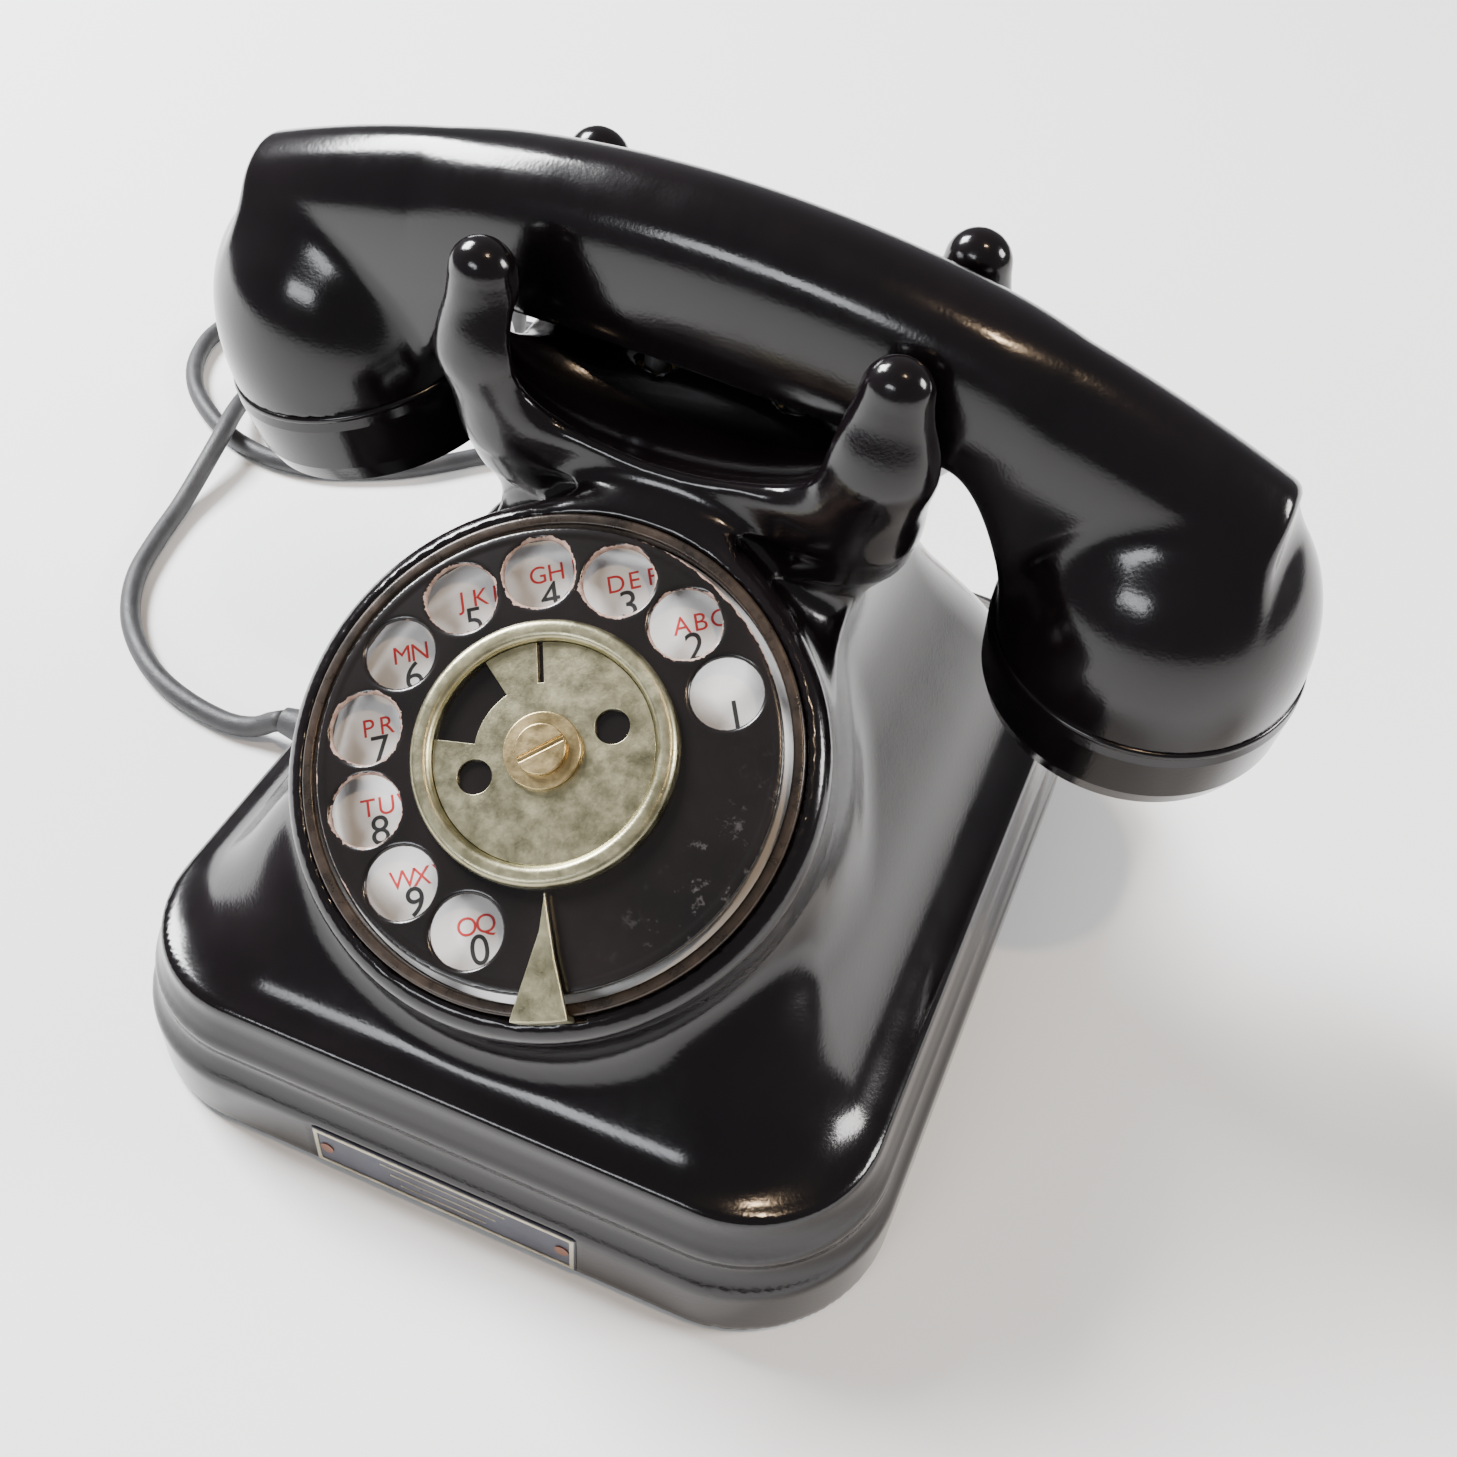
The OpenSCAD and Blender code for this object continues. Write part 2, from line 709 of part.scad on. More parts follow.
module mouth_cap() { cap(1); }

module capsule(side) {
    at_rest() at_cup(side) {
        rod(24.8, 77.5, 84);
        rod(18, 84, 95);
    }
}

module receiver_unit() { color([0.6, 0.6, 0.58]) capsule(-1); }

module transmitter_unit() { color([0.65, 0.6, 0.45]) capsule(1); }

module handset_grommet() {
    color([0.07, 0.07, 0.07]) at_rest() at_cup(-1) translate([0, 26.6, 96]) rotate([-119, 0, 0])
        rotate_extrude() polygon([[0, 0], [4.4, 0], [4.4, 4], [3.1, 14.8], [0, 14.8]]);
}

// ---- the telephone ----

body_shell();
base_plate();
rubber_feet();
base_screws();
nameplate();
nameplate_pins();
dial_case();
number_plate();
finger_stop();
dial_pillars();
dial_frame();
dial_screws();
main_spring();
pulse_contacts();
governor_cup();
finger_wheel();
card_ring();
card_plate();
hub_washer();
centre_screw();
main_shaft();
main_gear();
idler_arbor();
idler_gear();
pulse_cam();
governor_arbor();
governor_weights();
hook_plungers();
plunger_guides();
hook_lever();
hook_bracket();
hook_pin();
hook_contacts();
ringer_frame();
ringer_coils();
gong_left();
gong_right();
gong_posts();
gong_screws();
clapper_arm();
clapper_ball();
induction_coil();
capacitor();
terminal_block();
terminal_screws();
handset_gland();
line_gland();
handset_cord();
line_cord();
line_coil();
line_tail();
line_plug();
plug_pins();
handset_handle();
ear_cap();
mouth_cap();
receiver_unit();
transmitter_unit();
handset_grommet();
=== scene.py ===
import json
import math

import bmesh
import bpy
import numpy as np
from mathutils import Matrix, Vector


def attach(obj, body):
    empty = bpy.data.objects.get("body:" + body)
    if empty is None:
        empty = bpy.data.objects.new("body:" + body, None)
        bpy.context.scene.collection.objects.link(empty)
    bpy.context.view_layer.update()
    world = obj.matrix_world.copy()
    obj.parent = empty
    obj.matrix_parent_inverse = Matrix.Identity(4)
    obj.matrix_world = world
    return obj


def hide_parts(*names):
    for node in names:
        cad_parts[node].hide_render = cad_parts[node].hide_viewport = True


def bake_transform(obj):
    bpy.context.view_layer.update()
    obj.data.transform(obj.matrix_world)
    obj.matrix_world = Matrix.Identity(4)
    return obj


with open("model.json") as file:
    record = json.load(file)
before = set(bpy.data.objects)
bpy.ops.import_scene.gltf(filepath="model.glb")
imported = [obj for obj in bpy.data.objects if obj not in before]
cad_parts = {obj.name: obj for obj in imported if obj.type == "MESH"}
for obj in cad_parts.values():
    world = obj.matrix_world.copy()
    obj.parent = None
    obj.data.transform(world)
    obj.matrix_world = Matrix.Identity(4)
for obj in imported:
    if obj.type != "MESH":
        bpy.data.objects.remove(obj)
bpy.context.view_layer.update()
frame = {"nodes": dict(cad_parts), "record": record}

MM = 0.001
NODES = frame["nodes"]

# ---- driving sizes, in millimetres, as the CAD has them ----

BASE_W, BASE_D, BASE_R = 77.2, 91.7, 30.0
SKIRT_TOP, SKIRT_GAP = 33.0, 1.5
DIAL_CENTRE = np.array([0.0, -48.0, 86.9])
DIAL_LEAN = math.radians(31.68)
DIAL_UP = np.array([0.0, math.cos(DIAL_LEAN), math.sin(DIAL_LEAN)])
DIAL_OUT = np.array([0.0, -math.sin(DIAL_LEAN), math.cos(DIAL_LEAN)])
WHEEL_R, HOLE_CIRCLE, HOLE_R = 40.0, 32.0, 6.15
FIRST_HOLE, HOLE_STEP = 38.2, 25.62
CASE_R, BOSS_R = 43.5, 47.6
NECK_Y = 26.0
CUP_X, CUP_R, SEAM_Z = 86.5, 29.0, 89.0
CREST_Z = 152.5
HANDSET_REST = (1.5, 24.5, 153.5)
HANDSET_TURN = (6.5, 2.0, -2.5)
LEFT_CUP_LEAN, CUP_LEAN_Z = math.radians(15), 100.0
CORD_D = 5.0
COIL_CENTRE = np.array([-28.0, 150.0])


# ---- camera and cords first ----

def make_camera():
    data = bpy.data.cameras.new("camera")
    data.sensor_width = 36.0
    data.lens = 39.70
    camera = bpy.data.objects.new("camera", data)
    bpy.context.scene.collection.objects.link(camera)
    right = Vector((0.9199, 0.3868, 0.0648))
    up = Vector((-0.3226, 0.6524, 0.6858))
    back = right.cross(up)
    up = back.cross(right)
    place = Matrix((right.normalized(), up.normalized(), back.normalized())).transposed().to_4x4()
    place.translation = Vector((0.08662, -0.20797, 0.28572))
    camera.matrix_world = place
    bpy.context.scene.camera = camera


def smooth_path(points, step):
    """A Catmull-Rom curve through the points, with samples about step apart."""
    p = np.array(points, float)
    p = np.vstack([2 * p[0] - p[1], p, 2 * p[-1] - p[-2]])
    out = []
    for i in range(1, len(p) - 2):
        count = max(1, int(round(np.linalg.norm(p[i + 1] - p[i]) / step)))
        for t in np.arange(count) / count:
            out.append(0.5 * (2 * p[i] + (p[i + 1] - p[i - 1]) * t
                              + (2 * p[i - 1] - 5 * p[i] + 4 * p[i + 1] - p[i + 2]) * t ** 2
                              + (3 * p[i] - p[i - 1] - 3 * p[i + 1] + p[i + 2]) * t ** 3))
    out = np.vstack([out, p[-2]])
    out[:, 2] = np.maximum(out[:, 2], (CORD_D / 2 + 0.05) * MM)
    return out


# The cords' routes, as the CAD has them, in metres
HANDSET_ROUTE = [
    (-0.0932, -0.002, 0.008), (-0.097, -0.0025, 0.006), (-0.101, -0.0035, 0.0036), (-0.108, -0.0045, 0.0026),
    (-0.120, -0.003, 0.0026), (-0.132, 0.001, 0.0026), (-0.143, 0.008, 0.0026), (-0.152, 0.017, 0.0026),
    (-0.159, 0.029, 0.0026), (-0.163, 0.043, 0.0026), (-0.1655, 0.057, 0.0032), (-0.1675, 0.071, 0.006),
    (-0.1695, 0.083, 0.0083), (-0.1725, 0.093, 0.0083), (-0.1765, 0.105, 0.0054), (-0.178, 0.118, 0.0028),
    (-0.175, 0.132, 0.0026), (-0.166, 0.143, 0.0026), (-0.155, 0.1485, 0.0026), (-0.143, 0.149, 0.0026),
    (-0.130, 0.145, 0.0026), (-0.117, 0.137, 0.006), (-0.107, 0.129, 0.015), (-0.099, 0.121, 0.030),
    (-0.093, 0.114, 0.046), (-0.088, 0.107, 0.062), (-0.084, 0.100, 0.076), (-0.0813, 0.092, 0.0875),
    (-0.0807, 0.0835, 0.0942), (-0.082, 0.075, 0.0978),
]
LINE_ROUTE = [
    (-0.062, 0.1142, 0.010), (-0.063, 0.119, 0.008), (-0.065, 0.124, 0.0044), (-0.069, 0.1285, 0.0026),
    (-0.076, 0.131, 0.0026), (-0.084, 0.130, 0.0026), (-0.094, 0.1245, 0.0026), (-0.105, 0.114, 0.0026),
    (-0.118, 0.101, 0.0026), (-0.130, 0.093, 0.0026), (-0.142, 0.0875, 0.0026), (-0.154, 0.0857, 0.0026),
    (-0.165, 0.087, 0.0026), (-0.176, 0.091, 0.0026), (-0.188, 0.0985, 0.0026), (-0.197, 0.107, 0.0026),
    (-0.203, 0.117, 0.0026), (-0.206, 0.129, 0.0026), (-0.204, 0.142, 0.0026), (-0.198, 0.154, 0.0026),
    (-0.188, 0.163, 0.0026), (-0.175, 0.168, 0.0026), (-0.160, 0.171, 0.0026), (-0.143, 0.174, 0.0026),
    (-0.125, 0.177, 0.0026), (-0.107, 0.180, 0.0026), (-0.088, 0.1825, 0.0026), (-0.068, 0.1845, 0.0026),
    (-0.048, 0.1854, 0.0026), (-0.041, 0.1855, 0.0026),
]
TAIL_ROUTE = [
    (-0.015, 0.1855, 0.0076), (-0.009, 0.1855, 0.0084), (-0.002, 0.1855, 0.0096), (0.004, 0.1855, 0.010),
]
COIL_PITCH = 0.0051          # spacing of neighbouring turns
COIL_OUTER = 0.0355          # radius of the outermost turn
LOWER_TURNS, UPPER_TURNS = 4, 4
TURN_SAMPLES = 48
TABLE_TURN_Z, UPPER_TURN_RISE = 0.0027, 0.0048


def coil_path():
    """Clockwise turns from the back of the coil: inwards on the table, then outwards on top of those."""
    points = []
    total = LOWER_TURNS + UPPER_TURNS
    for i in range(total * TURN_SAMPLES + 1):
        turn = i / TURN_SAMPLES
        inward = COIL_PITCH * min(turn, total - turn)
        rise = np.clip((turn - LOWER_TURNS + 0.25) / 0.5, 0, 1)
        height = TABLE_TURN_Z + UPPER_TURN_RISE * rise * rise * (3 - 2 * rise)
        angle = math.pi / 2 - 2 * math.pi * turn
        radius = COIL_OUTER - inward
        points.append((COIL_CENTRE[0] * MM + radius * math.cos(angle),
                       COIL_CENTRE[1] * MM + radius * math.sin(angle), height))
    return points


def new_mesh_object(name, vertices, faces, smooth=True):
    mesh = bpy.data.meshes.new(name)
    mesh.from_pydata([tuple(v) for v in vertices], [], [tuple(f) for f in faces])
    mesh.update()
    if smooth:
        mesh.polygons.foreach_set("use_smooth", [True] * len(mesh.polygons))
    obj = bpy.data.objects.new(name, mesh)
    bpy.context.scene.collection.objects.link(obj)
    return obj


def swept_tube(name, path, radius, sides=16):
    """A round tube along a path, with its frame carried along without twist and flat ends."""
    path = np.array(path, float)
    tangents = np.gradient(path, axis=0)
    tangents /= np.linalg.norm(tangents, axis=1)[:, None]
    side = np.cross(tangents[0], [0, 0, 1.0])
    side /= np.linalg.norm(side)
    angles = np.arange(sides) * 2 * math.pi / sides
    vertices = []
    for p, t in zip(path, tangents):
        side = side - t * np.dot(side, t)
        side /= np.linalg.norm(side)
        up = np.cross(side, t)
        vertices += [p + radius * (math.cos(a) * side + math.sin(a) * up) for a in angles]
    faces = []
    for j in range(len(path) - 1):
        for k in range(sides):
            n = (k + 1) % sides
            faces.append((j * sides + k, (j + 1) * sides + k, (j + 1) * sides + n, j * sides + n))
    faces.append(tuple(range(sides)))
    last = (len(path) - 1) * sides
    faces.append(tuple(last + k for k in reversed(range(sides))))
    return new_mesh_object(name, vertices, faces)


# ---- materials ----

def material(name):
    m = bpy.data.materials.new(name)
    m.use_nodes = True
    tree = m.node_tree
    return m, tree, tree.nodes["Principled BSDF"]


def add(tree, kind, **values):
    node = tree.nodes.new(kind)
    for key, value in values.items():
        if key in node.inputs:
            node.inputs[key].default_value = value
        else:
            setattr(node, key, value)
    return node


def noise(tree, scale, detail=4.0, rough=0.55, stretch=(1, 1, 1)):
    """Noise in the piece's own metres, scale in features per metre, stretched along an axis if asked."""
    where = add(tree, "ShaderNodeTexCoord")
    mapping = add(tree, "ShaderNodeMapping")
    mapping.inputs["Scale"].default_value = stretch
    tree.links.new(where.outputs["Object"], mapping.inputs["Vector"])
    n = add(tree, "ShaderNodeTexNoise")
    n.inputs["Scale"].default_value = scale
    n.inputs["Detail"].default_value = detail
    n.inputs["Roughness"].default_value = rough
    tree.links.new(mapping.outputs["Vector"], n.inputs["Vector"])
    return n.outputs["Fac"]


def ramp(tree, value, stops):
    """Colour ramp of (position, colour or grey) stops."""
    r = add(tree, "ShaderNodeValToRGB")
    elements = r.color_ramp.elements
    for i, (position, colour) in enumerate(stops):
        e = elements[i] if i < 2 else elements.new(position)
        e.position = position
        e.color = (colour, colour, colour, 1) if isinstance(colour, (int, float)) else (*colour, 1)
    tree.links.new(value, r.inputs["Fac"])
    return r.outputs["Color"]


def mix(tree, fac, a, b):
    m = tree.nodes.new("ShaderNodeMix")
    m.data_type = "RGBA"
    tree.links.new(fac, m.inputs[0])
    for value, socket in ((a, m.inputs[6]), (b, m.inputs[7])):
        if isinstance(value, tuple):
            socket.default_value = (*value, 1)
        else:
            tree.links.new(value, socket)
    return m.outputs[2]


def multiply(tree, a, b):
    m = add(tree, "ShaderNodeMath", operation="MULTIPLY")
    for value, socket in ((a, m.inputs[0]), (b, m.inputs[1])):
        if isinstance(value, (int, float)):
            socket.default_value = value
        else:
            tree.links.new(value, socket)
    return m.outputs[0]


def bump(tree, shader, height, strength, distance):
    b = add(tree, "ShaderNodeBump")
    b.inputs["Strength"].default_value = strength
    b.inputs["Distance"].default_value = distance
    tree.links.new(height, b.inputs["Height"])
    tree.links.new(b.outputs["Normal"], shader.inputs["Normal"])


def bakelite_material():
    """Old polished phenolic: nearly black brown, softly worn gloss, fine scratches and dust."""
    m, tree, shader = material("bakelite")
    cloud = noise(tree, 28.0, 5.0)
    tree.links.new(ramp(tree, cloud, [(0.3, (0.0025, 0.0018, 0.0022)), (0.72, (0.006, 0.004, 0.005))]),
                   shader.inputs["Base Color"])
    smear = noise(tree, 90.0, 6.0, 0.6)
    scratch = noise(tree, 700.0, 3.0, 0.7, (1, 0.12, 0.5))
    polish = ramp(tree, smear, [(0.35, 0.10), (0.75, 0.19)])
    worn = mix(tree, multiply(tree, scratch, 0.35), polish, (0.28, 0.28, 0.28))
    tree.links.new(worn, shader.inputs["Roughness"])
    bump(tree, shader, noise(tree, 1500.0, 2.0), 0.06, 0.0004)
    shader.inputs["IOR"].default_value = 1.42
    shader.inputs["Coat Weight"].default_value = 0.08
    shader.inputs["Coat Roughness"].default_value = 0.08
    return m


def lacquer_material():
    """Black lacquer, chipped to tan where the mesh says it's worn, with grey scuffs at the lower right."""
    m, tree, shader = material("lacquer")
    wear = add(tree, "ShaderNodeAttribute", attribute_name="wear").outputs["Fac"]
    scuff = add(tree, "ShaderNodeAttribute", attribute_name="scuff").outputs["Fac"]
    ragged = noise(tree, 210.0, 7.0, 0.72)
    edge = add(tree, "ShaderNodeMath", operation="ADD")
    tree.links.new(wear, edge.inputs[0])
    tree.links.new(ragged, edge.inputs[1])
    chipped = ramp(tree, edge.outputs[0], [(0.985, 0.0), (1.0, 1.0)])
    tan = ramp(tree, noise(tree, 900.0), [(0.3, (0.24, 0.14, 0.105)), (0.7, (0.48, 0.34, 0.28))])
    black = ramp(tree, noise(tree, 60.0), [(0.3, (0.005, 0.004, 0.004)), (0.7, (0.011, 0.008, 0.008))])
    patches = multiply(tree, scuff, ramp(tree, noise(tree, 260.0, 7.0, 0.75), [(0.56, 0.0), (0.64, 0.6)]))
    dull = mix(tree, patches, black, (0.09, 0.085, 0.085))
    tree.links.new(mix(tree, chipped, dull, tan), shader.inputs["Base Color"])
    gloss = mix(tree, patches, (0.2, 0.2, 0.2), (0.55, 0.55, 0.55))
    tree.links.new(mix(tree, chipped, gloss, (0.7, 0.7, 0.7)), shader.inputs["Roughness"])
    bump(tree, shader, chipped, -0.35, 0.0002)
    return m


def metal_material(name, dark, light, rough_low, rough_high, metallic=1.0, scale=240.0, stretch=(1, 1, 1),
                   bump_strength=0.12):
    """Aged metal: two tones in clouds, roughness that varies and a fine grain."""
    m, tree, shader = material(name)
    tree.links.new(ramp(tree, noise(tree, scale * 0.5, 6.0, 0.65), [(0.3, dark), (0.7, light)]),
                   shader.inputs["Base Color"])
    tree.links.new(ramp(tree, noise(tree, scale, 6.0, 0.7, stretch), [(0.3, rough_low), (0.7, rough_high)]),
                   shader.inputs["Roughness"])
    shader.inputs["Metallic"].default_value = metallic
    bump(tree, shader, noise(tree, scale * 8, 3.0, 0.6, stretch), bump_strength, 0.0003)
    return m


def plain_material(name, dark, light, rough_low, rough_high, scale=180.0, bump_strength=0.2):
    """Rubber, enamel, moulded or varnished surfaces: the same recipe with no metal in it."""
    return metal_material(name, dark, light, rough_low, rough_high, 0.0, scale, (1, 1, 1), bump_strength)


MATERIALS = {
    "bakelite": bakelite_material(),
    "lacquer": lacquer_material(),
    "case_metal": metal_material("case_metal", (0.012, 0.010, 0.009), (0.055, 0.036, 0.024), 0.2, 0.4, 0.3),
    "enamel": plain_material("enamel", (0.80, 0.78, 0.76), (0.88, 0.87, 0.86), 0.18, 0.32, 90.0, 0.03),
    "nickel": metal_material("nickel", (0.30, 0.28, 0.17), (0.50, 0.47, 0.31), 0.26, 0.42),
    "brass": metal_material("brass", (0.40, 0.30, 0.14), (0.66, 0.52, 0.28), 0.26, 0.45),
    "steel": metal_material("steel", (0.30, 0.30, 0.31), (0.52, 0.52, 0.53), 0.3, 0.5),
    "gong_metal": metal_material("gong_metal", (0.5, 0.48, 0.42), (0.7, 0.68, 0.62), 0.15, 0.3),
    "rubber": plain_material("rubber", (0.018, 0.018, 0.020), (0.045, 0.045, 0.048), 0.42, 0.62, 260.0, 0.35),
    "plate_paint": plain_material("plate_paint", (0.012, 0.014, 0.030), (0.04, 0.045, 0.07), 0.25, 0.45,
                                  300.0),
    "copper": metal_material("copper", (0.13, 0.05, 0.035), (0.28, 0.13, 0.08), 0.35, 0.6, 0.7),
    "insulator": plain_material("insulator", (0.10, 0.06, 0.035), (0.22, 0.14, 0.09), 0.4, 0.6),
    "winding": metal_material("winding", (0.16, 0.05, 0.03), (0.42, 0.17, 0.09), 0.3, 0.5, 0.4, 200.0,
                              (1, 40, 1)),
    "can": metal_material("can", (0.42, 0.42, 0.40), (0.6, 0.6, 0.58), 0.35, 0.55),
    "capsule": metal_material("capsule", (0.42, 0.40, 0.35), (0.6, 0.58, 0.52), 0.3, 0.5),
    "plug_body": plain_material("plug_body", (0.016, 0.011, 0.010), (0.03, 0.022, 0.02), 0.25, 0.42),
    "digit_black": plain_material("digit_black", (0.015, 0.015, 0.017), (0.03, 0.03, 0.03), 0.3, 0.45),
    "letter_red": plain_material("letter_red", (0.45, 0.02, 0.025), (0.62, 0.05, 0.05), 0.3, 0.45),
    "pale_brass": metal_material("pale_brass", (0.36, 0.33, 0.24), (0.62, 0.58, 0.45), 0.3, 0.5, 0.8),
}
SLOT_OF = {s["node"]: s["material_slot"] for s in frame["record"]["subparts"]}


def finish_with(obj, slot, look=None):
    """Gives a piece the material named by its slot, or by the look if one is given."""
    obj.data.materials.clear()
    obj.data.materials.append(MATERIALS[look or slot])


# ---- cords ----

def make_cords():
    """Both cords as fixed tubes: the handset's runs from the table up to the handset, the line cord lies
    still with its coil.
    """
    radius = CORD_D / 2 * MM
    handset_path = smooth_path(HANDSET_ROUTE, 0.0025)
    cord = swept_tube("handset_cord_run", handset_path, radius)
    finish_with(cord, "rubber")
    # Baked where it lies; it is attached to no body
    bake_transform(cord)
    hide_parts("handset_cord")

    line_path = smooth_path(LINE_ROUTE + coil_path() + TAIL_ROUTE, 0.0035)
    line = swept_tube("line_cord_run", line_path, radius, 12)
    finish_with(line, "rubber")
    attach(line, "base")
    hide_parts("line_cord", "line_coil", "line_tail")


make_camera()
make_cords()


# ---- solids from distance functions ----

def lerp_table(z, heights, values, blur):
    """Table values against height, blurred by that many millimetres so that a profile has no corners."""
    fine = np.arange(-10.0, 170.0, 0.5)
    raw = np.interp(fine, heights, values)
    if blur > 0:
        reach = np.arange(-3 * blur, 3 * blur + 0.5, 0.5)
        kernel = np.exp(-0.5 * (reach / blur) ** 2)
        padded = np.pad(raw, len(kernel) // 2, mode="edge")
        raw = np.convolve(padded, kernel / kernel.sum(), mode="valid")[:len(fine)]
    return np.interp(z, fine, raw)


def smooth_min(a, b, k):
    h = np.maximum(k - np.abs(a - b), 0) / k
    return np.minimum(a, b) - h * h * k * 0.25


def smooth_max(a, b, k):
    return -smooth_min(-a, -b, k)


def round_rect(x, y, half_w, half_d, r):
    qx = np.abs(x) - (half_w - r)
    qy = np.abs(y) - (half_d - r)
    return np.hypot(np.maximum(qx, 0), np.maximum(qy, 0)) + np.minimum(np.maximum(qx, qy), 0) - r


def capsule(x, y, z, a, b, ra, rb, squash_y=1.0):
    """Tapered bar with round ends from a to b; squash_y above 1 makes it thinner along Y."""
    px, py, pz = x - a[0], (y - a[1]) * squash_y, z - a[2]
    dx, dy, dz = b[0] - a[0], (b[1] - a[1]) * squash_y, b[2] - a[2]
    t = np.clip((px * dx + py * dy + pz * dz) / (dx * dx + dy * dy + dz * dz), 0, 1)
    return np.sqrt((px - t * dx) ** 2 + (py - t * dy) ** 2 + (pz - t * dz) ** 2) - (ra + (rb - ra) * t)


def surface_net(name, field, low, high, step, polish=3):
    """Turns the zero level of a field, in millimetres, into a smooth quad mesh in metres."""
    axes = [np.arange(l, h + step, step, dtype=np.float32) for l, h in zip(low, high)]
    shape = [len(a) for a in axes]
    value = np.empty(shape, np.float32)
    slab = 24
    for i in range(0, shape[0], slab):
        gx, gy, gz = np.meshgrid(axes[0][i:i + slab], axes[1], axes[2], indexing="ij")
        value[i:i + slab] = field(gx, gy, gz)
    inside = value < 0
    sums = np.zeros([n - 1 for n in shape] + [3], np.float32)
    count = np.zeros([n - 1 for n in shape], np.float32)
    cells = np.array(shape) - 1
    for axis in range(3):
        u, v = [a for a in range(3) if a != axis]
        first = [slice(None)] * 3
        second = [slice(None)] * 3
        first[axis] = slice(0, cells[axis])
        second[axis] = slice(1, shape[axis])
        a, b = value[tuple(first)], value[tuple(second)]
        cross = inside[tuple(first)] != inside[tuple(second)]
        where = np.argwhere(cross)
        av, bv = a[cross], b[cross]
        point = where.astype(np.float32)
        point[:, axis] += av / (av - bv)
        for du in (0, 1):
            for dv in (0, 1):
                cell = where.copy()
                cell[:, u] -= du
                cell[:, v] -= dv
                ok = (cell[:, u] >= 0) & (cell[:, v] >= 0) & (cell[:, u] < cells[u]) & (cell[:, v] < cells[v])
                at = tuple(cell[ok].T)
                np.add.at(sums, at, point[ok])
                np.add.at(count, at, 1)
    used = count > 0
    index = np.full(count.shape, -1, np.int64)
    index[used] = np.arange(int(used.sum()))
    points = sums[used] / count[used][:, None] * step + np.array(low, np.float32)
    quads = []
    for axis in range(3):
        u, v = [(1, 2), (2, 0), (0, 1)][axis]
        first = [slice(None)] * 3
        second = [slice(None)] * 3
        first[axis] = slice(0, cells[axis])
        second[axis] = slice(1, shape[axis])
        cross = inside[tuple(first)] != inside[tuple(second)]
        where = np.argwhere(cross)
        closed = (where[:, u] > 0) & (where[:, v] > 0) & (where[:, u] < cells[u]) & (where[:, v] < cells[v])
        where = where[closed]
        outward = inside[tuple(where.T)]
        corners = []
        for du, dv in ((1, 1), (0, 1), (0, 0), (1, 0)):
            cell = where.copy()
            cell[:, u] -= du
            cell[:, v] -= dv
            corners.append(index[tuple(cell.T)])
        quad = np.stack(corners, 1)
        quad[~outward] = quad[~outward][:, ::-1]
        quads.append(quad)
    quads = np.concatenate(quads)
    points = points.astype(np.float64)
    nudge = step * 0.2
    for _ in range(polish):
        at = field(*points.T)
        slope = np.stack([(field(*(points + nudge * e).T) - field(*(points - nudge * e).T)) / (2 * nudge)
                          for e in np.eye(3)], 1)
        size = np.maximum((slope ** 2).sum(1), 0.05)
        move = -(at / size)[:, None] * slope
        length = np.linalg.norm(move, axis=1)[:, None]
        points += move * np.minimum(1, 0.5 * step / np.maximum(length, 1e-9))
    return new_mesh_object(name, points * MM, quads), points


# ---- body and handset mouldings ----

# The hill: its half width, front, back and corner radius against height
HILL_Z = [30, 34, 37, 42, 50, 58, 66, 74, 82, 90, 96, 120]
HILL_W = [72, 68, 64.5, 60.5, 55.5, 49.5, 43.5, 38.5, 36, 35, 34.6, 34.6]
HILL_FRONT = [-86, -83, -80, -76, -70.5, -63, -53, -40, -26, -11, -1, 1]
HILL_BACK = [86, 83, 80, 76, 71, 66, 61, 57, 54, 52.5, 51.5, 51]
HILL_R = [26, 25, 24, 23, 21, 20, 19, 17, 15, 13.5, 12, 12]
HILL_BLUR = 3.0
NECK_TOP = 116.5
# The neck's two ridges: height where each starts, and how far it stands out
RIDGES = [(99.6, 1.1), (106.0, 1.3)]
RIDGE_RAMP = 0.8

# The skirt: how far it stands in from its widest band, against height
SKIRT_Z = [0, 15.4, 16.4, 20.2, 24.0, 25.0, 29.0, 33.0]
SKIRT_IN = [0, 0, 1.3, 3.1, 2.3, 3.6, 5.4, 5.0]
SKIRT_BLUR = 0.7

# Hollows in the moulding
INSIDE_W, INSIDE_D, INSIDE_R, INSIDE_TOP = 68.8, 83.3, 22, 29.0
PLUNGER_X, PLUNGER_BORE, PLUNGER_FLOOR = 14.0, 4.25, 104.0
POCKET_W, POCKET_Z, POCKET_H = 27.4, 8.3, 5.8
HANDLE_CLEARANCE = 1.2

# The handset's handle and cups
HANDLE_END = 101.5
CUP_BORE, CUP_FLOOR = 25.2, 97.0
DOME_RISE, DOME_POWER = 36.0, 2.25


def dial_coordinates(x, y, z):
    dy, dz = y - DIAL_CENTRE[1], z - DIAL_CENTRE[2]
    return x, dy * DIAL_UP[1] + dz * DIAL_UP[2], dy * DIAL_OUT[1] + dz * DIAL_OUT[2]


def ellipsoid(x, y, z, centre, radii):
    """Zero on the ellipsoid, in units of its radii."""
    return np.sqrt(sum(((v - c) / r) ** 2 for v, c, r in zip((x, y, z), centre, radii))) - 1


